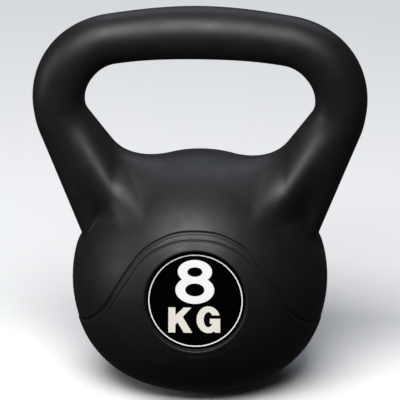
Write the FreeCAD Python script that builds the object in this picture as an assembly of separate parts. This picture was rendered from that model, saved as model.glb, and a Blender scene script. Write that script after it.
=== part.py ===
import FreeCAD
import Part
import math
import os

# Eight-kilogram moulded kettlebell: a hollow plastic skin, its poured core, a base plug and two badges.
# All sizes are millimetres. +Z is up, the handle runs along X, the front badge faces -Y, and the
# origin is the centre of the flat base.

# ---- body ----
body_radius = 88.4          # the ball that the body is built on
base_drop = 0.809 * body_radius         # from the ball's centre down to the flat base
bowl_arc_radius = 0.682 * body_radius   # rounding between the ball and the flat base
base_flat_radius = math.sqrt((body_radius - bowl_arc_radius) ** 2 - (base_drop - bowl_arc_radius) ** 2)
apron_step = 0.6            # how far the lower apron stands proud of the upper dome

# ---- handle and horns ----
grip_centre_rise = 177.4    # grip centreline above the ball's centre, in the middle
crown_radius = 357.0        # gentle arch of the grip's centreline
crown_half_angle = 9.85     # degrees of that arch on each side
corner_radius = 43.4        # bend between grip and leg, on the centreline
corner_end_angle = 101.6    # heading in degrees where the corner bend ends (0 is level, 90 is down)
leg_bend_radius = 40.4      # softer bend from leg to horn
horn_lean = 29.35           # degrees between the horn's axis and the vertical
grip_radius_middle = 18.35  # section radius in the middle of the grip
grip_radius_ends = 17.45    # slightly waisted towards the corners
grip_radius_corner = 18.4
leg_radius = 17.95
horn_start_radius = 18.95
horn_growth = 0.127         # radius gained per millimetre down the horn
horn_swell = 0.23           # extra depth gained front to back, far down the horn
horn_turn = 0.25            # how far the oval's crest moves to the window side, per millimetre down
horn_end_rise = 0.48 * body_radius      # height above the ball's centre where the horn ends, inside
saddle_fillet = 28.1        # hollow between horn and ball on the window side
cheek_fillet = 1.5          # tight crease on the outer side
fillet_bias = 2.45          # how quickly the hollow tightens from window side to cheek
shoulder_drop = 2.5         # how far the ball's shoulder sinks into the crease on the outer side
shoulder_width = 4.0        # distance from the horn over which it sinks

# ---- skin and fill ----
skin_wall = 3.0
setting_gap = 0.4           # the fill shrinks away from the skin as it sets

# ---- apron edge, a bell-shaped line across front and back ----
# each point is (x, rise above the ball's centre), as shares of the ball's radius
apron_edge = [
    (0.0, 0.648), (0.261, 0.593), (0.45, 0.452), (0.58, 0.257), (0.75, -0.048), (0.955, -0.295),
    (1.09, -0.455)]

# ---- badge seats ----
badge_tilt = 7.5            # degrees that the badge looks upwards
seat_radius = 35.0
seat_floor = math.sqrt(body_radius ** 2 - seat_radius ** 2) - 4.5   # from the ball's centre
seat_lip = 0.8
badge_radius = seat_radius - 1.2
badge_thickness = 0.8
print_thickness = 0.2
print_scale = badge_radius / 33.8       # the marks are drawn for a badge of this radius
ring_outer_radius = badge_radius - 1.5
ring_width = 0.75

# ---- filler hole and plug ----
hole_radius = 15.0
plug_seat_radius = hole_radius + 4.0
plug_seat_depth = skin_wall / 2.0
plug_side_gap = 0.3
plug_recess = 0.2
skirt_wall = 2.0
skirt_top = 3.0 * skin_wall
bead_height = 1.4
bead_proud = 0.7
thumb_dimple_radius = 6.0
thumb_dimple_depth = 0.5

# ---- sampling of the moulded skin ----
window_floor_rise = body_radius
window_roof_rise = grip_centre_rise - grip_radius_middle
window_eye_rise = 0.45 * window_floor_rise + 0.55 * window_roof_rise    # all section planes meet here
section_count = 128         # section planes around the window
ring_count = 64             # points around each section
notch_heading = -47.0       # heading of the crease, in degrees from +X
notch_spread = 10.0
notch_crowding = 1.6        # extra density of sections there

# ---- derived points of the handle's centreline, right-hand side, as (x, z) ----
ball_z = base_drop
crown_end_angle = math.radians(crown_half_angle)
bend_start_angle = math.radians(corner_end_angle)
lean = math.radians(horn_lean)
horn_heading = math.pi / 2 + lean
horn_sine = horn_growth
horn_cosine = math.sqrt(1.0 - horn_growth ** 2)
slowest_rate = 0.4          # keeps the distance finite near the horn's axis


def along_arc(centre, radius, angle):
    """The point of an arc at an angle counted from straight up towards +X."""
    return centre[0] + radius * math.sin(angle), centre[1] + radius * math.cos(angle)


crown_centre = (0.0, ball_z + grip_centre_rise - crown_radius)
crown_end = along_arc(crown_centre, crown_radius, crown_end_angle)
corner_centre = along_arc(crown_end, -corner_radius, crown_end_angle)
corner_end = along_arc(corner_centre, corner_radius, bend_start_angle)
bend_centre = along_arc(corner_end, -leg_bend_radius, bend_start_angle)
horn_start = along_arc(bend_centre, leg_bend_radius, horn_heading)
horn_length = (horn_start[1] - ball_z - horn_end_rise) / math.cos(lean)


def eased(start, end, share):
    """A value that leaves start and reaches end without a corner."""
    return start + (end - start) * (1.0 - math.cos(math.pi * share)) / 2.0


def crown_section(share):
    return eased(grip_radius_middle, grip_radius_ends, share)


def corner_section(share):
    if share < 0.5:
        return eased(grip_radius_ends, grip_radius_corner, 2.0 * share)
    return eased(grip_radius_corner, leg_radius, 2.0 * share - 1.0)


def bend_section(share):
    return leg_radius + (horn_start_radius - leg_radius) * share


def arc_gap(x, y, z, centre, radius, start, end, section):
    """Distance from a point to a round tube that follows an arc."""
    angle = math.atan2(x - centre[0], z - centre[1])
    angle = min(max(angle, start), end)
    near = along_arc(centre, radius, angle)
    reach = math.sqrt((x - near[0]) ** 2 + y ** 2 + (z - near[1]) ** 2)
    return reach - section((angle - start) / (end - start))


def horn_gap(x, y, z):
    """Distance to the widening oval horn, and how far the point lies to its window side (-1 to 1)."""
    side_x = x - horn_start[0]
    side_z = z - horn_start[1]
    along = -side_x * math.sin(lean) - side_z * math.cos(lean)
    inward = -side_x * math.cos(lean) + side_z * math.sin(lean)
    down = min(max(along, 0.0), horn_length)
    across = horn_start_radius + horn_growth * down
    squeeze = across / (across + horn_swell * down ** 2 / (down + horn_start_radius))
    inside_share = max(1.0 - (inward / across) ** 2, 0.0)
    turned = inward - horn_turn * down * inside_share ** 2
    off_axis = math.hypot(turned, y * squeeze)
    station = min(max(along + off_axis * horn_sine / horn_cosine, 0.0), horn_length)
    gap = math.hypot(along - station, off_axis) - horn_start_radius - horn_growth * station
    turned_rate = 1.0 + 4.0 * horn_turn * down * inside_share * inward / across ** 2
    rate = math.hypot(turned * turned_rate, y * squeeze ** 2) / (off_axis + 0.001)
    return gap / max(rate, slowest_rate), inward / (off_axis + 0.001)


def body_gap(x, y, z):
    """Distance to the ball with its bowl-shaped underside and flat base."""
    out = math.sqrt(x * x + y * y)
    up = z - ball_z
    arc_rise = bowl_arc_radius - base_drop
    if up * base_flat_radius >= out * arc_rise:
        return math.sqrt(out * out + up * up) - body_radius
    if out <= base_flat_radius:
        return -z
    return math.hypot(out - base_flat_radius, up - arc_rise) - bowl_arc_radius


def skin_gap(x, y, z):
    """Distance to the dome, horns and handle joined by soft hollows; negative inside."""
    x = abs(x)
    horn, window_side = horn_gap(x, y, z)
    handle = min(
        arc_gap(x, y, z, crown_centre, crown_radius, 0.0, crown_end_angle, crown_section),
        arc_gap(x, y, z, corner_centre, corner_radius, crown_end_angle, bend_start_angle, corner_section),
        arc_gap(x, y, z, bend_centre, leg_bend_radius, bend_start_angle, horn_heading, bend_section),
        horn)
    sunk = math.exp(-(handle / shoulder_width) ** 2) * min(window_side, 0.0) ** 2
    body = body_gap(x, y, z) + apron_step + shoulder_drop * sunk
    share = ((1.0 + window_side) / 2.0) ** fillet_bias
    fillet = cheek_fillet + (saddle_fillet - cheek_fillet) * share
    near_handle = max(fillet - handle, 0.0)
    near_body = max(fillet - body, 0.0)
    return max(fillet, min(handle, body)) - math.hypot(near_handle, near_body)


def crossing(measure, inside, outside):
    """Where a measure changes sign between a place inside and a place outside."""
    for _ in range(30):
        middle = (inside + outside) / 2.0
        if measure(middle) < 0.0:
            inside = middle
        else:
            outside = middle
    return (inside + outside) / 2.0


def section_headings():
    """Headings of the section planes on the right-hand side, from straight down to straight up."""
    steps = 720
    density = []
    for step in range(steps):
        heading = -90.0 + 180.0 * (step + 0.5) / steps
        crowd = math.exp(-((heading - notch_heading) / notch_spread) ** 2)
        density.append(1.0 + notch_crowding * crowd)
    total = sum(density)
    half_count = section_count // 2
    headings = [-90.0]
    passed = 0.0
    for step in range(steps):
        goal = total * len(headings) / half_count
        while passed + density[step] >= goal and len(headings) < half_count:
            headings.append(-90.0 + 180.0 * (step + (goal - passed) / density[step]) / steps)
            goal = total * len(headings) / half_count
        passed += density[step]
    headings.append(90.0)
    return headings


def skin_points(depth):
    """Grid of points on the skin sunk by a depth: one row per section, one column per ring place."""
    eye_z = ball_z + window_eye_rise
    half_rings = ring_count // 2
    quarter = []
    for heading in section_headings():
        run = math.cos(math.radians(heading))
        rise = math.sin(math.radians(heading))

        def in_plane(distance):
            return skin_gap(run * distance, 0.0, eye_z + rise * distance)

        first = 0.0
        while in_plane(first) > -2.0:
            first += 1.0
        last = 330.0
        while in_plane(last) > -2.0:
            last -= 1.0
        near_side = crossing(in_plane, first, 0.0)
        far_side = crossing(in_plane, last, 330.0)
        middle = (near_side + far_side) / 2.0
        row = []
        for ring in range(half_rings + 1):
            turn = math.pi * ring / half_rings

            def outward(distance):
                place = middle + distance * math.cos(turn)
                return skin_gap(run * place, distance * math.sin(turn), eye_z + rise * place) + depth

            toward_eye = max(-math.cos(turn), 0.001)
            reach = crossing(outward, 0.0, min(200.0, middle / toward_eye))
            place = middle + reach * math.cos(turn)
            row.append((run * place, reach * math.sin(turn), eye_z + rise * place))
        row += [(x, -y, z) for x, y, z in row[half_rings - 1:0:-1]]
        quarter.append(row)
    left = [[(-x, y, z) for x, y, z in row] for row in quarter[section_count // 2 - 1:0:-1]]
    return quarter + left


def closed_poles(points):
    """Poles of the closed uniform cubic that passes through a ring of points."""
    count = len(points)
    poles = list(points)
    for _ in range(36):
        poles = [
            tuple((6.0 * points[i][k] - poles[i - 1][k] - poles[(i + 1) % count][k]) / 4.0
                  for k in range(3))
            for i in range(count)]
    return poles


def skin_solid(depth):
    """Solid bounded by the skin sunk by a depth, in four patches that meet on the two mid-planes."""
    points = skin_points(depth)
    rows = [closed_poles(row) for row in points]
    columns = [closed_poles([row[j] for row in rows]) for j in range(ring_count)]
    poles = []
    for i in range(section_count):
        source = (i - 1) % section_count
        poles.append([FreeCAD.Vector(*columns[(j - 1) % ring_count][source]) for j in range(ring_count)])
    surface = Part.BSplineSurface()
    surface.buildFromPolesMultsKnots(
        poles, [1] * (section_count + 1), [1] * (ring_count + 1),
        [float(i) for i in range(section_count + 1)], [float(j) for j in range(ring_count + 1)],
        True, True, 3, 3)
    half_u = section_count / 2.0
    half_v = ring_count / 2.0
    faces = []
    for u in (0.0, half_u):
        for v in (0.0, half_v):
            patch = surface.copy()
            patch.segment(u, u + half_u, v, v + half_v)
            faces.append(patch.toShape())
    sewn = Part.makeCompound(faces)
    sewn.sewShape()
    solid = Part.Solid(sewn.Shells[0])
    if solid.Volume < 0.0:
        solid.reverse()
    return solid


def apron_solid():
    """Bowl-shaped lower skin, proud of the dome, that ends upwards at the bell-shaped edge."""
    handover = math.atan2(base_flat_radius, base_drop - bowl_arc_radius)
    bowl_centre = (base_flat_radius, bowl_arc_radius)
    bowl_middle = along_arc(bowl_centre, bowl_arc_radius, math.pi - handover / 2.0)
    bowl_end = along_arc((0.0, ball_z), body_radius, math.pi - handover)
    ball_side = along_arc((0.0, ball_z), body_radius, (math.pi - handover) / 2.0)
    corners = [
        FreeCAD.Vector(0.0, 0.0, 0.0),
        FreeCAD.Vector(base_flat_radius, 0.0, 0.0),
        FreeCAD.Vector(bowl_middle[0], 0.0, bowl_middle[1]),
        FreeCAD.Vector(bowl_end[0], 0.0, bowl_end[1]),
        FreeCAD.Vector(ball_side[0], 0.0, ball_side[1]),
        FreeCAD.Vector(0.0, 0.0, ball_z + body_radius)]
    outline = Part.Wire([
        Part.makeLine(corners[0], corners[1]),
        Part.Arc(corners[1], corners[2], corners[3]).toShape(),
        Part.Arc(corners[3], corners[4], corners[5]).toShape(),
        Part.makeLine(corners[5], corners[0])])
    ball = Part.Face(outline).revolve(FreeCAD.Vector(0, 0, 0), FreeCAD.Vector(0, 0, 1), 360.0)

    reach = body_radius + 12.0
    right = [
        FreeCAD.Vector(body_radius * x, -reach, ball_z + body_radius * rise) for x, rise in apron_edge]
    left = [FreeCAD.Vector(-point.x, point.y, point.z) for point in right[:0:-1]]
    edge = Part.BSplineCurve()
    edge.interpolate(left + right)
    low_right = FreeCAD.Vector(right[-1].x, -reach, -reach)
    low_left = FreeCAD.Vector(left[0].x, -reach, -reach)
    boundary = Part.Wire([
        edge.toShape(),
        Part.makeLine(right[-1], low_right),
        Part.makeLine(low_right, low_left),
        Part.makeLine(low_left, left[0])])
    prism = Part.Face(boundary).extrude(FreeCAD.Vector(0.0, 2.0 * reach, 0.0))
    return ball.common(prism)


def on_badge(shape, side):
    """Carry a shape from the flat drawing plane (X right, Y up, Z outwards) to a badge seat."""
    placed = shape.copy()
    placed.rotate(FreeCAD.Vector(0, 0, 0), FreeCAD.Vector(1, 0, 0), 90.0 - badge_tilt)
    placed.translate(FreeCAD.Vector(0.0, 0.0, ball_z))
    if side == "back":
        placed.rotate(FreeCAD.Vector(0, 0, 0), FreeCAD.Vector(0, 0, 1), 180.0)
    return placed


def seat_tool():
    """What the badge seat takes out of the skin, with a rounded lip, about the Z axis."""
    lip_out = seat_radius + seat_lip
    lip_height = math.sqrt((body_radius - seat_lip) ** 2 - lip_out ** 2)
    outer_share = body_radius / (body_radius - seat_lip)
    rim = FreeCAD.Vector(lip_out * outer_share, 0.0, lip_height * outer_share)
    start = FreeCAD.Vector(seat_radius, 0.0, lip_height)
    slope = math.atan2(rim.z - lip_height, rim.x - lip_out)
    middle_angle = (math.pi + slope) / 2.0
    middle = FreeCAD.Vector(
        lip_out + seat_lip * math.cos(middle_angle), 0.0, lip_height + seat_lip * math.sin(middle_angle))
    top = body_radius + 10.0
    corners = [
        FreeCAD.Vector(rim.x, 0.0, top),
        FreeCAD.Vector(0.0, 0.0, top),
        FreeCAD.Vector(0.0, 0.0, seat_floor),
        FreeCAD.Vector(seat_radius, 0.0, seat_floor)]
    outline = Part.Wire([
        Part.makeLine(corners[0], corners[1]),
        Part.makeLine(corners[1], corners[2]),
        Part.makeLine(corners[2], corners[3]),
        Part.makeLine(corners[3], start),
        Part.Arc(start, middle, rim).toShape(),
        Part.makeLine(rim, corners[0])])
    return Part.Face(outline).revolve(FreeCAD.Vector(0, 0, 0), FreeCAD.Vector(0, 0, 1), 360.0)


def disc(radius, bottom, top):
    """Upright round disc between two heights."""
    return Part.makeCylinder(radius, top - bottom, FreeCAD.Vector(0, 0, bottom))


def tube(outer, inner, bottom, top):
    return disc(outer, bottom, top).cut(disc(inner, bottom - 1.0, top + 1.0))


def filled_space(depth):
    """Inside of the skin at a depth below it, less the bosses behind the badge seats."""
    space = skin_solid(depth)
    boss = disc(seat_radius + depth, seat_floor - depth, body_radius + 10.0)
    for side in ("front", "back"):
        space = space.cut(on_badge(boss, side))
    return space


def moulded_shell():
    """Hollow one-piece skin with badge seats and the filler hole."""
    shell = skin_solid(0.0).fuse(apron_solid())
    for side in ("front", "back"):
        shell = shell.cut(on_badge(seat_tool(), side))
    shell = shell.cut(filled_space(skin_wall))
    shell = shell.cut(disc(hole_radius, -5.0, skin_wall + 5.0))
    return shell.cut(disc(plug_seat_radius, -5.0, plug_seat_depth))


def cement_core():
    """Poured fill, a little smaller than the space inside the skin, with a pocket for the plug."""
    core = filled_space(skin_wall + setting_gap)
    return core.cut(disc(hole_radius + bead_proud + setting_gap, -5.0, skirt_top + setting_gap))


def filler_plug():
    """Snap-in cap: a flange in the seat and a skirt whose bead catches behind the wall."""
    flange = disc(plug_seat_radius - plug_side_gap, plug_recess, plug_seat_depth)
    skirt_outer = hole_radius - plug_side_gap
    plug = flange.fuse(disc(skirt_outer, plug_seat_depth, skirt_top))
    bead_bottom = apron_step + skin_wall + plug_side_gap
    bead_middle = bead_bottom + bead_height / 2.0
    bead_reach = bead_proud + plug_side_gap
    lower = Part.makeCone(
        skirt_outer, skirt_outer + bead_reach, bead_height / 2.0, FreeCAD.Vector(0, 0, bead_bottom))
    upper = Part.makeCone(
        skirt_outer + bead_reach, skirt_outer, bead_height / 2.0, FreeCAD.Vector(0, 0, bead_middle))
    plug = plug.fuse(lower).fuse(upper)
    plug = plug.cut(disc(skirt_outer - skirt_wall, plug_seat_depth, skirt_top + 1.0))
    return plug.cut(disc(thumb_dimple_radius, -1.0, plug_recess + thumb_dimple_depth))


def ellipse_plate(centre_x, centre_y, half_width, half_height):
    """Flat oval plate as thick as the print."""
    plate = disc(1.0, 0.0, print_thickness)
    stretch = FreeCAD.Matrix()
    stretch.scale(print_scale * half_width, print_scale * half_height, 1.0)
    plate = plate.transformGeometry(stretch)
    plate.translate(FreeCAD.Vector(print_scale * centre_x, print_scale * centre_y, 0.0))
    return plate


def corner_plate(corners):
    """Straight-edged plate as thick as the print."""
    points = [FreeCAD.Vector(print_scale * x, print_scale * y, 0.0) for x, y in corners]
    outline = Part.makePolygon(points + points[:1])
    return Part.Face(outline).extrude(FreeCAD.Vector(0.0, 0.0, print_thickness))


def figure_eight():
    lobes = ellipse_plate(-0.5, 7.5, 13.3, 9.7).fuse(ellipse_plate(-0.5, 20.3, 11.7, 8.25))
    lobes = lobes.cut(ellipse_plate(-0.5, 7.55, 6.6, 4.5))
    return lobes.cut(ellipse_plate(-0.5, 20.1, 5.15, 3.35))


def letter_k():
    return corner_plate([
        (-18.5, -4.9), (-13.7, -4.9), (-13.7, -10.4), (-8.1, -4.9), (-2.8, -4.9), (-8.7, -11.4),
        (-2.1, -22.5), (-7.9, -22.5), (-12.2, -15.3), (-13.7, -17.1), (-13.7, -22.5), (-18.5, -22.5)])


def letter_g():
    bowl = ellipse_plate(8.9, -13.2, 8.1, 9.4).cut(ellipse_plate(8.9, -13.2, 3.2, 5.3))
    mouth = corner_plate([(9.9, -10.1), (20.0, -10.1), (20.0, -15.3), (9.9, -15.3)])
    bar = corner_plate([
        (9.9, -12.5), (17.0, -12.5), (17.0, -22.2), (13.3, -22.2), (13.3, -16.0), (9.9, -16.0)])
    return bowl.cut(mouth).fuse(bar).removeSplitter()


def badge_nodes(side):
    """The badge of one side and the print on it, as named solids."""
    face = seat_floor + badge_thickness
    flat = {
        "badge": disc(badge_radius, seat_floor, face),
        "ring": tube(ring_outer_radius, ring_outer_radius - ring_width, face, face + print_thickness)}
    for name, glyph in (("figure", figure_eight()), ("letter_k", letter_k()), ("letter_g", letter_g())):
        glyph.translate(FreeCAD.Vector(0.0, 0.0, face))
        flat[name] = glyph
    return {side + "_" + name: on_badge(shape, side) for name, shape in flat.items()}


def main():
    os.makedirs("parts", exist_ok=True)
    nodes = {
        "moulded_shell": moulded_shell(),
        "cement_core": cement_core(),
        "filler_plug": filler_plug()}
    nodes.update(badge_nodes("front"))
    nodes.update(badge_nodes("back"))
    for name, shape in nodes.items():
        shape.exportStep(os.path.join("parts", name + ".step"))
        volume_cc = round(shape.Volume / 1000.0, 2)
        print(name, "solids", len(shape.Solids), "valid", shape.isValid(), "cc", volume_cc)


main()
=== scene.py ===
import math

import bpy
import numpy as np
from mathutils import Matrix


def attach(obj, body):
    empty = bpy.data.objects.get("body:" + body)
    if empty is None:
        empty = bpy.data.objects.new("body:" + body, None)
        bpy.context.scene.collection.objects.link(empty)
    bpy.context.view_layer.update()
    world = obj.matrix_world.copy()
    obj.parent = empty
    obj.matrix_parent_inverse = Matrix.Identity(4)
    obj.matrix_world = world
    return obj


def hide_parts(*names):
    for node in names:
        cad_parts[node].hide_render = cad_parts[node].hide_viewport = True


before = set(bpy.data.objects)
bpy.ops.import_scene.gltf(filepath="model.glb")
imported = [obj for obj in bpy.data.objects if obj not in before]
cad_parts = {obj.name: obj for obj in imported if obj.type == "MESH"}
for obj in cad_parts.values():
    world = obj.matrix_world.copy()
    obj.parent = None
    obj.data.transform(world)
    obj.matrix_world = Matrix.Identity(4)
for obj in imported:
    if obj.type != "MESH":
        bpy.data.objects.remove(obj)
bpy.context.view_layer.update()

# ---------------------------------------------------------------------------------------------------
# Upper skin: the dome, the two horns and the handle, one blow-moulded hull of black polyethylene about
# 3 mm thick, whose mould halves part on the plane of the handle. The grip's tube widens into horns that
# flow into the ball with a deep hollow on the window side and a tight crease on the cheeks.

MM = 0.001
ball_radius = 88.4
ball_height = 0.809 * ball_radius
apron_step = 0.6
wall = 3.0

grip_rise = 177.4
crown_radius, crown_end = 357.0, math.radians(9.85)
corner_radius, corner_end = 43.4, math.radians(101.6)
leg_radius, leg_end = 40.4, math.radians(90.0 + 29.35)
lean = math.radians(29.35)
tube_middle, tube_ends, tube_corner, tube_leg, tube_horn = 18.35, 17.45, 18.4, 17.95, 18.95
horn_growth, horn_swell, horn_turn = 0.127, 0.23, 0.25
horn_foot_rise, slowest_rate = 0.48 * ball_radius, 0.4
saddle_hollow, cheek_crease, hollow_bias = 28.1, 1.5, 2.45
shoulder_drop, shoulder_width = 2.5, 4.0


def on_arc(centre, radius, angle):
    """Point of an arc whose angle counts from straight up towards +X, as (x, z)."""
    return np.array(centre) + radius * np.array([np.sin(angle), np.cos(angle)])


crown_centre = np.array([0.0, ball_height + grip_rise - crown_radius])
crown_tip = on_arc(crown_centre, crown_radius, crown_end)
corner_centre = on_arc(crown_tip, -corner_radius, crown_end)
corner_tip = on_arc(corner_centre, corner_radius, corner_end)
leg_centre = on_arc(corner_tip, -leg_radius, corner_end)
horn_top = on_arc(leg_centre, leg_radius, leg_end)
horn_length = (horn_top[1] - ball_height - horn_foot_rise) / math.cos(lean)


def eased(start, end, share):
    """Leaves start and reaches end level: half a cosine wave between the two."""
    return start + (end - start) * (1.0 - np.cos(np.pi * share)) / 2.0


def bent_tube_gap(x, y, z, centre, radius, start, end, thickness):
    """Distance to a round tube along an arc: reach to the nearest arc point, less the tube's radius."""
    angle = np.clip(np.arctan2(x - centre[0], z - centre[1]), start, end)
    near_x = centre[0] + radius * np.sin(angle)
    near_z = centre[1] + radius * np.cos(angle)
    reach = np.sqrt((x - near_x) ** 2 + y ** 2 + (z - near_z) ** 2)
    return reach - thickness((angle - start) / (end - start))


def corner_thickness(share):
    """Swells from the grip's end to the middle of the corner, then eases to the leg."""
    swelling = eased(tube_ends, tube_corner, np.minimum(2.0 * share, 1.0))
    easing = eased(tube_corner, tube_leg, np.clip(2.0 * share - 1.0, 0.0, 1.0))
    return np.where(share < 0.5, swelling, easing)


def skin_gap(x, y, z):
    """Distance to the skin, negative inside: the nearer of tube and ball, joined by a round hollow
    whose radius shrinks from the window side of the horn to its cheek. The horn is a cone made oval,
    deeper from front to back than it is wide, with its crest turned towards the window. Its gap is
    divided by how fast it changes, but by slowest_rate at least, so that it's close to a distance."""
    x = np.abs(x)
    side_x, side_z = x - horn_top[0], z - horn_top[1]
    along = -side_x * math.sin(lean) - side_z * math.cos(lean)
    inward = -side_x * math.cos(lean) + side_z * math.sin(lean)
    down = np.clip(along, 0.0, horn_length)
    across = tube_horn + horn_growth * down
    squeeze = across / (across + horn_swell * down ** 2 / (down + tube_horn))
    inside_share = np.maximum(1.0 - (inward / across) ** 2, 0.0)
    turned = inward - horn_turn * down * inside_share ** 2
    off_axis = np.hypot(turned, y * squeeze)
    slope = horn_growth / math.sqrt(1.0 - horn_growth ** 2)
    station = np.clip(along + off_axis * slope, 0.0, horn_length)
    tube = np.hypot(along - station, off_axis) - tube_horn - horn_growth * station
    turned_rate = 1.0 + 4.0 * horn_turn * down * inside_share * inward / across ** 2
    rate = np.hypot(turned * turned_rate, y * squeeze ** 2) / (off_axis + 0.001)
    tube = tube / np.maximum(rate, slowest_rate)
    tube = np.minimum(tube, bent_tube_gap(
        x, y, z, crown_centre, crown_radius, 0.0, crown_end, lambda s: eased(tube_middle, tube_ends, s)))
    tube = np.minimum(tube, bent_tube_gap(
        x, y, z, corner_centre, corner_radius, crown_end, corner_end, corner_thickness))
    tube = np.minimum(tube, bent_tube_gap(
        x, y, z, leg_centre, leg_radius, corner_end, leg_end,
        lambda s: tube_leg + (tube_horn - tube_leg) * s))
    side = inward / (off_axis + 0.001)
    shoulder = shoulder_drop * np.minimum(side, 0.0) ** 2 * np.exp(-(tube / shoulder_width) ** 2)
    ball = np.sqrt(x ** 2 + y ** 2 + (z - ball_height) ** 2) - ball_radius + apron_step + shoulder
    share = ((1.0 + side) / 2.0) ** hollow_bias
    hollow = cheek_crease + (saddle_hollow - cheek_crease) * share
    near_tube = np.maximum(hollow - tube, 0.0)
    near_ball = np.maximum(hollow - ball, 0.0)
    return np.maximum(hollow, np.minimum(tube, ball)) - np.hypot(near_tube, near_ball)


def crossing(measure, inside, outside):
    """Halves the bracket thirty times to find where a measure changes sign, for whole arrays."""
    for _ in range(30):
        middle = (inside + outside) / 2.0
        within = measure(middle) < 0.0
        inside = np.where(within, middle, inside)
        outside = np.where(within, outside, middle)
    return (inside + outside) / 2.0


# the raised apron ends upwards in a bell-shaped line: (x, rise) as shares of the ball's radius
edge_x = np.array([-0.261, 0.0, 0.261, 0.45, 0.58, 0.75, 0.955, 1.09, 1.4]) * ball_radius
edge_rise = np.array([0.593, 0.648, 0.593, 0.452, 0.257, -0.048, -0.295, -0.455, -0.82]) * ball_radius
edge_slope = np.gradient(edge_rise, edge_x)


def edge_height(x):
    """Height of the apron's line at a distance x from the middle: cubic Hermite through its points."""
    x = np.minimum(np.abs(x), edge_x[-1])
    k = np.clip(np.searchsorted(edge_x, x) - 1, 0, len(edge_x) - 2)
    span = edge_x[k + 1] - edge_x[k]
    t = (x - edge_x[k]) / span
    return (ball_height
            + edge_rise[k] * (2 * t ** 3 - 3 * t ** 2 + 1) + edge_rise[k + 1] * (3 * t ** 2 - 2 * t ** 3)
            + span * (edge_slope[k] * (t ** 3 - 2 * t ** 2 + t) + edge_slope[k + 1] * (t ** 3 - t ** 2)))


def above_edge(x, z):
    """Distance above the apron's line: height over it, times the cosine of the line's slope."""
    half_step = 0.25
    rise = edge_height(np.abs(x) + half_step) - edge_height(np.abs(x) - half_step)
    return (z - edge_height(x)) / np.sqrt(1.0 + (rise / (2.0 * half_step)) ** 2)


# the skin is cut by planes that fan out like pages from an axis through the window, front to back
section_count, ring_count = 300, 152
eye_height = ball_height + 0.45 * ball_radius + 0.55 * (grip_rise - tube_middle)

# headings of the planes, closer together at the cheek crease: the inverse of their summed density
crease_heading, crease_spread, crease_crowding = -47.0, 9.0, 1.8
fine = np.linspace(-90.0, 90.0, 1441)
density = 1.0 + crease_crowding * np.exp(-((fine - crease_heading) / crease_spread) ** 2)
summed = np.concatenate([[0.0], np.cumsum((density[1:] + density[:-1]) / 2.0)])
right = np.interp(np.linspace(0.0, summed[-1], section_count // 2 + 1), summed, fine)
heading = np.radians(np.concatenate([right, 180.0 - right[-2:0:-1]]))[:, None]
turn = (2.0 * np.pi * np.arange(ring_count) / ring_count)[None, :]

# the middle of each section lies half way between the first and last whole millimetres of its ray
# that are at least 2 mm inside the skin
farthest = 330
reach = np.arange(0.0, farthest, 1.0)[None, :]
solid = skin_gap(np.cos(heading) * reach, 0.0, eye_height + np.sin(heading) * reach) < -2.0
first = np.argmax(solid, axis=1)[:, None] * 1.0
last = farthest - 1.0 - np.argmax(solid[:, ::-1], axis=1)[:, None]
section_middle = (first + last) / 2.0


def skin_grid(depth):
    """Points of the skin sunk by a depth: from the middle of each section plane, every ray is
    followed to where the distance to the skin equals minus the depth."""
    def place(distance):
        """Points of every ray at a distance from its section's middle, as x, y and z."""
        out = section_middle + distance * np.cos(turn)
        return np.cos(heading) * out, distance * np.sin(turn), eye_height + np.sin(heading) * out

    widest_section = 200.0
    limit = np.minimum(widest_section, section_middle / np.maximum(-np.cos(turn), 0.001))
    distance = crossing(lambda d: skin_gap(*place(d)) + depth, np.zeros_like(limit), limit)
    return np.stack(np.broadcast_arrays(*place(distance)), axis=-1)


def hollow_sheet(outer, inner, kept):
    """Vertices and quads of a closed wall between two matching rings-by-rings grids, with the cells
    that aren't kept left out and the cut closed from the outer to the inner grid."""
    rows, columns = outer.shape[:2]
    number = np.arange(rows * columns).reshape(rows, columns)
    a = number
    b = np.roll(number, -1, axis=0)
    c = np.roll(b, -1, axis=1)
    d = np.roll(number, -1, axis=1)
    under = rows * columns
    quads = [np.stack([a, d, c, b], -1)[kept], np.stack([a, b, c, d], -1)[kept] + under]
    for step, axis, p, q in ((-1, 0, c, b), (1, 0, a, d), (-1, 1, d, c), (1, 1, b, a)):
        rim = kept & ~np.roll(kept, step, axis=axis)
        quads.append(np.stack([q[rim], p[rim], p[rim] + under, q[rim] + under], -1))
    quads = np.concatenate(quads)
    used, renumbered = np.unique(quads, return_inverse=True)
    points = np.concatenate([outer.reshape(-1, 3), inner.reshape(-1, 3)])
    return points[used], renumbered.reshape(quads.shape)


def new_piece(name, points, faces, material):
    """A smooth-shaded mesh object in metres, made from points in millimetres and their faces."""
    mesh = bpy.data.meshes.new(name)
    mesh.from_pydata((points * MM).tolist(), [], faces)
    mesh.polygons.foreach_set("use_smooth", np.ones(len(mesh.polygons), bool))
    mesh.materials.append(material)
    mesh.update()
    piece = bpy.data.objects.new(name, mesh)
    bpy.context.scene.collection.objects.link(piece)
    return piece


def new_material(name, colour, roughness, specular=0.5):
    """A material with one Principled shader; its even values sit on the shader's own sockets."""
    material = bpy.data.materials.new(name)
    material.use_nodes = True
    nodes = material.node_tree.nodes
    nodes.clear()
    output = nodes.new("ShaderNodeOutputMaterial")
    shader = nodes.new("ShaderNodeBsdfPrincipled")
    material.node_tree.links.new(shader.outputs["BSDF"], output.inputs["Surface"])
    shader.inputs["Base Color"].default_value = (*colour, 1.0)
    shader.inputs["Roughness"].default_value = roughness
    shader.inputs["Specular IOR Level"].default_value = specular
    return material, shader


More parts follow.
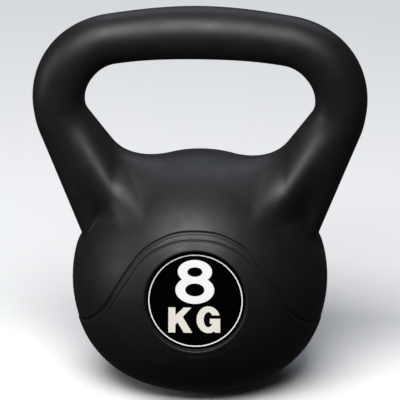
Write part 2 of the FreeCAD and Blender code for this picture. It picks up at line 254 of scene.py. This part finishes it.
def add_node(material, kind, inputs=None, **settings):
    """A node with its settings; an input is either a plain value or another node's output socket."""
    node = material.node_tree.nodes.new(kind)
    for name, value in settings.items():
        setattr(node, name, value)
    for name, value in (inputs or {}).items():
        if isinstance(value, bpy.types.NodeSocket):
            material.node_tree.links.new(value, node.inputs[name])
        else:
            node.inputs[name].default_value = value
    return node


def moulded_plastic(name, colour=(0.0064, 0.0064, 0.0066), seam=True):
    """Satin black polyethylene: fine leathery grain, slow ripples of the cooled wall and uneven gloss.
    With seam, also the crevice at the lip's foot and the raised hairline where the mould halves met."""
    material, shader = new_material(name, colour, 0.42, 0.42)
    place = add_node(material, "ShaderNodeTexCoord").outputs["Object"]
    grain = add_node(material, "ShaderNodeTexNoise", {"Vector": place, "Scale": 1500.0, "Detail": 3.0})
    ripple = add_node(material, "ShaderNodeTexNoise", {"Vector": place, "Scale": 42.0, "Detail": 2.0})
    gloss = add_node(material, "ShaderNodeTexNoise", {"Vector": place, "Scale": 90.0, "Detail": 5.0})
    gloss_range = add_node(material, "ShaderNodeMapRange", {
        "Value": gloss.outputs["Fac"], "From Min": 0.3, "From Max": 0.7, "To Min": 0.44, "To Max": 0.54})
    material.node_tree.links.new(gloss_range.outputs["Result"], shader.inputs["Roughness"])
    bump = add_node(material, "ShaderNodeBump", {
        "Height": ripple.outputs["Fac"], "Strength": 0.25, "Distance": 0.0006})
    bump = add_node(material, "ShaderNodeBump", {
        "Height": grain.outputs["Fac"], "Strength": 0.35, "Distance": 0.00008,
        "Normal": bump.outputs["Normal"]})
    if seam:
        height = add_node(material, "ShaderNodeAttribute", attribute_name="above_line").outputs["Fac"]
        foot = add_node(material, "ShaderNodeMapRange", {
            "Value": height, "From Min": -1.2, "From Max": 0.4, "To Min": -1.0, "To Max": 0.0},
            interpolation_type="SMOOTHSTEP")
        bump = add_node(material, "ShaderNodeBump", {
            "Height": foot.outputs["Result"], "Strength": 1.0, "Distance": 0.0011,
            "Normal": bump.outputs["Normal"]})
        split = add_node(material, "ShaderNodeSeparateXYZ", {"Vector": place})
        side = add_node(material, "ShaderNodeMath", {0: split.outputs["Y"]}, operation="ABSOLUTE")
        line = add_node(material, "ShaderNodeMapRange", {
            "Value": side.outputs["Value"], "From Min": 0.0002, "From Max": 0.0011,
            "To Min": 1.0, "To Max": 0.0}, interpolation_type="SMOOTHSTEP")
        bump = add_node(material, "ShaderNodeBump", {
            "Height": line.outputs["Result"], "Strength": 1.0, "Distance": 0.0006,
            "Normal": bump.outputs["Normal"]})
    material.node_tree.links.new(bump.outputs["Normal"], shader.inputs["Normal"])
    return material


skin_plastic = moulded_plastic("black_polyethylene")
outer_skin = skin_grid(0.0)
inner_skin = skin_grid(wall)
line_distance = above_edge(outer_skin[..., 0], outer_skin[..., 2])
overlap_beneath_lip = 3.5
free = line_distance > -overlap_beneath_lip
cell_free = free | np.roll(free, -1, axis=0)
cell_free = cell_free | np.roll(cell_free, -1, axis=1)
points, quads = hollow_sheet(outer_skin, inner_skin, cell_free)
upper_skin = new_piece("upper_skin", points, quads.tolist(), skin_plastic)
above_line = upper_skin.data.attributes.new("above_line", "FLOAT", "POINT")
above_line.data.foreach_set("value", above_edge(points[:, 0], points[:, 2]).astype(np.float32))
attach(upper_skin, "root")
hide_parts("moulded_shell")

# ---------------------------------------------------------------------------------------------------
# Lower skin: the bowl with its raised apron.
# The same moulding, whose lower part stands 0.6 mm proud behind a rounded lip with a crevice at its
# foot, and a hairline groove that follows the lip. It closes in a flat base with the filler hole.

bowl_arc = 0.682 * ball_radius
flat_radius = math.sqrt((ball_radius - bowl_arc) ** 2 - (ball_height - bowl_arc) ** 2)
badge_tilt = math.radians(7.5)
seat_radius, seat_sink = 35.0, 4.5
seat_floor = math.sqrt(ball_radius ** 2 - seat_radius ** 2) - seat_sink
hole_radius, plug_seat_radius, plug_seat_depth = 15.0, 19.0, wall / 2.0
lower_wall = wall + apron_step


def step_up(value, start, end):
    """Smooth rise from 0 at start to 1 at end: three times the square less twice the cube."""
    t = np.clip((value - start) / (end - start), 0.0, 1.0)
    return t * t * (3.0 - 2.0 * t)


def bowl_reach(down_angle, depth):
    """Distance from the ball's centre to the bowl sunk by a depth, along a ray at an angle from
    straight down: the flat's plane, then the circle of the rounding, then the ball."""
    s, c = np.sin(down_angle), np.cos(down_angle)
    drop, arc, ball = ball_height - depth, bowl_arc - depth, ball_radius - depth
    rise = ball_height - bowl_arc
    flat = drop / np.maximum(c, 0.05)
    near = s * flat_radius + c * rise
    rounding = near + np.sqrt(np.maximum(near ** 2 - (flat_radius ** 2 + rise ** 2 - arc ** 2), 0.0))
    reach = np.where(s * rise >= c * flat_radius, ball, rounding)
    return np.where((c > 0.05) & (s * drop <= c * flat_radius), flat, reach)


def relief(x, z):
    """Height of the moulded relief over the bowl: the lip falls from the apron to beneath the upper
    skin, and the hairline groove follows it some way below, as a bell curve across its line. The
    groove is a little lower in the middle and fades out at the sides."""
    lip_fall, groove_depth, groove_width = 1.7, 0.42, 0.5
    above, aside = above_edge(x, z), np.abs(x)
    lip = -lip_fall * step_up(above, -2.3, -0.3)
    gap = 4.4 + 1.0 * (1.0 - step_up(aside, 10.0, 45.0))
    fading = 1.0 - step_up(aside, 50.0, 74.0)
    groove = -groove_depth * np.exp(-((above + gap) / groove_width) ** 2) * fading
    return lip + groove


def dip_behind_seats(points, depth, margin):
    """Lowers the bowl behind each badge seat, along the seat's axis, to a flat a little below it."""
    rim, fade = seat_radius + margin, 2.0
    for side in (-1.0, 1.0):
        axis = np.array([0.0, side * math.cos(badge_tilt), math.sin(badge_tilt)])
        offset = points - np.array([0.0, 0.0, ball_height])
        height = offset @ axis
        away = np.linalg.norm(offset - height[..., None] * axis, axis=-1)
        lowered = seat_floor - depth
        share = 1.0 - step_up(away, rim, rim + fade)
        drop = np.where(height > 0.0, np.maximum(height - lowered, 0.0) * share, 0.0)
        points = points - drop[..., None] * axis
    return points


longitude_count = 420
longitude = (2.0 * np.pi * np.arange(longitude_count) / longitude_count)[None, :]


def from_centre(latitude, reach):
    """Points at a latitude and reach from the ball's centre, one column for each longitude."""
    out = reach * np.cos(latitude)
    parts = out * np.sin(longitude), -out * np.cos(longitude), ball_height + reach * np.sin(latitude)
    return np.stack(np.broadcast_arrays(*parts), axis=-1)


def over_edge(latitude):
    """How far the ball's surface at a latitude is above the apron's line."""
    spot = from_centre(latitude, np.full_like(latitude, ball_radius))
    return above_edge(spot[..., 0], spot[..., 2])


# rows follow the apron's line, crowded at its lip and groove, then spread evenly down to the flat
line_rows = np.concatenate([
    [2.6, 1.8, 1.0, 0.4], np.arange(0.0, -2.6, -0.15), np.arange(-2.7, -7.6, -0.2),
    [-8.2, -9.2, -10.6, -12.4]])[:, None]
search_start, search_span = math.radians(-42.0), math.radians(104.0)
start = np.full((len(line_rows), longitude_count), search_start)
line_latitude = crossing(lambda phi: over_edge(phi) - line_rows, start, start + search_span)
flat_latitude = -math.atan2(ball_height, flat_radius)
share = np.linspace(0.0, 1.0, 61)[1:, None]
bowl_latitude = line_latitude[-1:] + (flat_latitude - line_latitude[-1:]) * share
latitude = np.concatenate([line_latitude, bowl_latitude])
down_angle = np.pi / 2.0 + latitude
outer_bowl = from_centre(latitude, bowl_reach(down_angle, 0.0))
outer_bowl = from_centre(
    latitude, bowl_reach(down_angle, 0.0) + relief(outer_bowl[..., 0], outer_bowl[..., 2]))
clear_of_seat, seat_margin = 0.7, 0.4
outer_bowl = dip_behind_seats(outer_bowl, clear_of_seat, seat_margin)
inner_bowl = dip_behind_seats(from_centre(latitude, bowl_reach(down_angle, lower_wall)), wall, wall)

# under the base: the flat's ring, the stepped seat of the plug and the filler hole, as (radius, height)
base_profile = np.array([
    (24.0, 0.0), (22.0, 0.0), (20.4, 0.0), (19.6, 0.0), (19.25, 0.07), (19.05, 0.25), (19.0, 0.5),
    (plug_seat_radius, plug_seat_depth), (17.0, plug_seat_depth), (15.3, plug_seat_depth),
    (hole_radius, plug_seat_depth + 0.2), (hole_radius, lower_wall - 0.2), (15.3, lower_wall),
    (18.0, lower_wall), (22.0, lower_wall)])
radius, height = base_profile[:, :1], base_profile[:, 1:]
base_rings = np.stack(np.broadcast_arrays(
    radius * np.sin(longitude), -radius * np.cos(longitude), height + 0.0 * longitude), axis=-1)
grid = np.concatenate([outer_bowl, base_rings, inner_bowl[::-1]])


def closed_quads(rows, columns):
    """Quads of a grid that closes on itself both ways."""
    number = np.arange(rows * columns).reshape(rows, columns)
    below = np.roll(number, -1, axis=0)
    return np.stack([
        number, below, np.roll(below, -1, axis=1), np.roll(number, -1, axis=1)], -1).reshape(-1, 4)


lower_skin = new_piece(
    "lower_skin", grid.reshape(-1, 3), closed_quads(*grid.shape[:2]).tolist(), skin_plastic)
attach(lower_skin, "root")
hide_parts("moulded_shell")

# ---------------------------------------------------------------------------------------------------
# Badge seats: round recesses of the same plastic, moulded into the front and back of the apron.
# Each has a flat floor, an upright wall and a rounded lip that runs out into the ball.

seat_lip, seat_foot = 0.8, 0.5
seat_behind = seat_floor - 0.6
lip_out = seat_radius + seat_lip
lip_height = math.sqrt((ball_radius - seat_lip) ** 2 - lip_out ** 2)
lip_turn = np.linspace(math.pi, math.atan2(lip_height, lip_out), 9)
foot_turn = np.linspace(-math.pi / 2.0, 0.0, 6)
hem_radius = seat_radius + np.array([2.4, 3.1, 3.7, 4.2, 4.6])
hem_proud = np.array([0.03, 0.03, 0.03, -0.1, -0.5])
seat_profile = np.concatenate([
    [(0.0, seat_floor), (12.0, seat_floor), (24.0, seat_floor), (33.0, seat_floor)],
    np.stack([
        seat_radius - seat_foot + seat_foot * np.cos(foot_turn),
        seat_floor + seat_foot + seat_foot * np.sin(foot_turn)], -1),
    np.stack([lip_out + seat_lip * np.cos(lip_turn), lip_height + seat_lip * np.sin(lip_turn)], -1),
    np.stack([hem_radius, np.sqrt((ball_radius + hem_proud) ** 2 - hem_radius ** 2)], -1),
    [(seat_radius + 3.7, seat_floor + 0.7), (seat_radius + 1.2, seat_floor + 0.5),
     (seat_radius + 1.0, seat_behind), (24.0, seat_behind), (0.0, seat_behind)]])


def turned_about_badge_axis(profile, side, columns=288):
    """A profile of (radius, height) spun about a seat's axis, with one point at each pole."""
    around = (2.0 * np.pi * np.arange(columns) / columns)[None, :]
    radius, height = profile[1:-1, :1], profile[1:-1, 1:]
    across, up = radius * np.cos(around), radius * np.sin(around)
    flat = np.stack(np.broadcast_arrays(across, up, height + 0.0 * around), axis=-1).reshape(-1, 3)
    flat = np.concatenate([flat, [[0.0, 0.0, profile[0, 1]], [0.0, 0.0, profile[-1, 1]]]])
    s, c = math.sin(badge_tilt), math.cos(badge_tilt)
    x, y, z = flat[:, 0], s * flat[:, 1] - c * flat[:, 2], c * flat[:, 1] + s * flat[:, 2]
    turned = np.stack([side * x, side * y, z + ball_height], -1)
    rows = len(profile) - 2
    number = np.arange(rows * columns).reshape(rows, columns)
    beside = np.roll(number, -1, axis=1)
    quads = np.stack([number[:-1], beside[:-1], beside[1:], number[1:]], -1).reshape(-1, 4)
    first = np.full(columns, rows * columns)
    caps = np.concatenate([
        np.stack([first, beside[0], number[0]], -1), np.stack([first + 1, number[-1], beside[-1]], -1)])
    return turned, quads.tolist() + caps.tolist()


for name, side in (("front_seat", 1.0), ("back_seat", -1.0)):
    points, faces = turned_about_badge_axis(seat_profile, side)
    seat = new_piece(name, points, faces, skin_plastic)
    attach(seat, "root")
    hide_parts("moulded_shell")

# ---------------------------------------------------------------------------------------------------
# Badges: a thin black plastic disc glued into each seat, with a white ring and figure and cream
# letters printed on it. The ink is flat and a touch uneven, as screen print is.


def printed(name, colour, roughness, gloss, mottle):
    """Flat ink or badge plastic with fine pores, whose tone wanders a little."""
    material, shader = new_material(name, colour, roughness, gloss)
    place = add_node(material, "ShaderNodeTexCoord").outputs["Object"]
    cloud = add_node(material, "ShaderNodeTexNoise", {"Vector": place, "Scale": 260.0, "Detail": 4.0})
    tone = add_node(material, "ShaderNodeMix", {"Factor": cloud.outputs["Fac"]}, data_type="RGBA")
    tone.inputs[6].default_value = (*colour, 1.0)
    tone.inputs[7].default_value = (*[v * mottle for v in colour], 1.0)
    material.node_tree.links.new(tone.outputs[2], shader.inputs["Base Color"])
    pores = add_node(material, "ShaderNodeTexNoise", {"Vector": place, "Scale": 2600.0, "Detail": 2.0})
    bump = add_node(material, "ShaderNodeBump", {
        "Height": pores.outputs["Fac"], "Strength": 0.2, "Distance": 0.00004})
    material.node_tree.links.new(bump.outputs["Normal"], shader.inputs["Normal"])
    return material


badge_black = printed("badge_black", (0.0004, 0.0004, 0.0005), 0.8, 0.01, 1.6)
ink_white = printed("ink_white", (0.99, 0.99, 0.99), 0.55, 0.3, 0.98)
ink_cream = printed("ink_cream", (0.89, 0.85, 0.77), 0.55, 0.3, 0.96)


def give_material(node, material):
    """Puts one material in every slot of a CAD node's object."""
    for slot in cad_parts[node].material_slots:
        slot.material = material


for side in ("front", "back"):
    give_material(side + "_badge", badge_black)
    give_material(side + "_ring", ink_white)
    give_material(side + "_figure", ink_white)
    give_material(side + "_letter_k", ink_cream)
    give_material(side + "_letter_g", ink_cream)

# ---------------------------------------------------------------------------------------------------
# Filler plug: a moulded polyethylene cap under the base, a shade greyer than the skin.
# It is pressed into its stepped seat after the fill has set, and snaps behind the wall.

give_material("filler_plug", moulded_plastic("plug_polyethylene", (0.014, 0.014, 0.015), seam=False))

# ---------------------------------------------------------------------------------------------------
# Fill: cement mixed with iron sand, poured through the hole in the base.
# It sets as one coarse grey lump and is wholly inside the skin.

fill, fill_shader = new_material("set_cement", (0.30, 0.28, 0.26), 0.9)
place = add_node(fill, "ShaderNodeTexCoord").outputs["Object"]
sand = add_node(fill, "ShaderNodeTexNoise", {"Vector": place, "Scale": 700.0, "Detail": 6.0})
tone = add_node(fill, "ShaderNodeMix", {"Factor": sand.outputs["Fac"]}, data_type="RGBA")
tone.inputs[6].default_value = (0.16, 0.14, 0.13, 1.0)
tone.inputs[7].default_value = (0.42, 0.40, 0.37, 1.0)
fill.node_tree.links.new(tone.outputs[2], fill_shader.inputs["Base Color"])
rough = add_node(fill, "ShaderNodeBump", {
    "Height": sand.outputs["Fac"], "Strength": 0.6, "Distance": 0.0006})
fill.node_tree.links.new(rough.outputs["Normal"], fill_shader.inputs["Normal"])
give_material("cement_core", fill)

# ---------------------------------------------------------------------------------------------------
# Stage: a pale matt floor that neither lights the object nor shows in its gloss, three soft panel
# lights in a faintly lit white room, and the camera in front, looking 20 degrees down.

floor_mesh = bpy.data.meshes.new("floor")
floor_mesh.from_pydata(
    [(-6.0, -6.0, 0.0), (6.0, -6.0, 0.0), (6.0, 6.0, 0.0), (-6.0, 6.0, 0.0)], [], [(0, 1, 2, 3)])
floor = bpy.data.objects.new("floor", floor_mesh)
bpy.context.scene.collection.objects.link(floor)
floor_paint, _ = new_material("floor_paint", (0.9, 0.9, 0.9), 0.9, 0.1)
floor_mesh.materials.append(floor_paint)
floor.visible_diffuse = False
floor.visible_glossy = False


def soft_light(name, place, aim, size, power, colour=(1.0, 1.0, 1.0)):
    """A rectangular panel light, in metres and watts, turned to face a point."""
    light = bpy.data.lights.new(name, "AREA")
    light.shape = "RECTANGLE"
    light.size, light.size_y = size
    light.energy = power
    light.color = colour
    lamp = bpy.data.objects.new(name, light)
    bpy.context.scene.collection.objects.link(lamp)
    away = np.array(place) - np.array(aim)
    lamp.location = place
    lamp.rotation_euler = (
        math.atan2(math.hypot(away[0], away[1]), away[2]), 0.0, math.atan2(away[0], -away[1]))


body_middle = (0.0, 0.0, 0.13)


def panel_place(azimuth, elevation, distance):
    """A place round the body's middle; azimuth 0 is in front and grows to the right, in degrees."""
    turn, rise = math.radians(azimuth), math.radians(elevation)
    return (distance * math.sin(turn) * math.cos(rise), -distance * math.cos(turn) * math.cos(rise),
            body_middle[2] + distance * math.sin(rise))


soft_light("key", panel_place(-12.0, 53.0, 1.6), body_middle, (1.4, 0.9), 40.0)
soft_light("left_fill", panel_place(-78.0, 12.0, 1.5), body_middle, (0.5, 0.7), 4.5)
soft_light("back_sky", panel_place(175.0, 48.0, 1.8), body_middle, (1.8, 0.8), 9.0, (0.82, 0.89, 1.0))

world = bpy.data.worlds.new("studio")
world.use_nodes = True
world.node_tree.nodes["Background"].inputs["Color"].default_value = (1.0, 1.0, 1.0, 1.0)
world.node_tree.nodes["Background"].inputs["Strength"].default_value = 0.035
bpy.context.scene.world = world

camera_azimuth, camera_elevation, camera_distance = math.radians(2.3), math.radians(20.0), 9.0
view_width, aim_rise, sensor_width = 0.2758, 0.0521, 36.0
back = np.array([
    math.sin(camera_azimuth) * math.cos(camera_elevation),
    -math.cos(camera_azimuth) * math.cos(camera_elevation), math.sin(camera_elevation)])
up = np.array([
    -math.sin(camera_azimuth) * math.sin(camera_elevation),
    math.cos(camera_azimuth) * math.sin(camera_elevation), math.cos(camera_elevation)])
aim = np.array([0.0, 0.0, ball_height * MM]) + aim_rise * up
camera_data = bpy.data.cameras.new("camera")
camera_data.sensor_width = sensor_width
camera_data.lens = sensor_width * camera_distance / view_width
camera = bpy.data.objects.new("camera", camera_data)
camera.location = aim + camera_distance * back
camera.rotation_euler = (math.pi / 2.0 - camera_elevation, 0.0, camera_azimuth)
bpy.context.scene.collection.objects.link(camera)
bpy.context.scene.camera = camera
bpy.context.scene.view_settings.view_transform = "Standard"
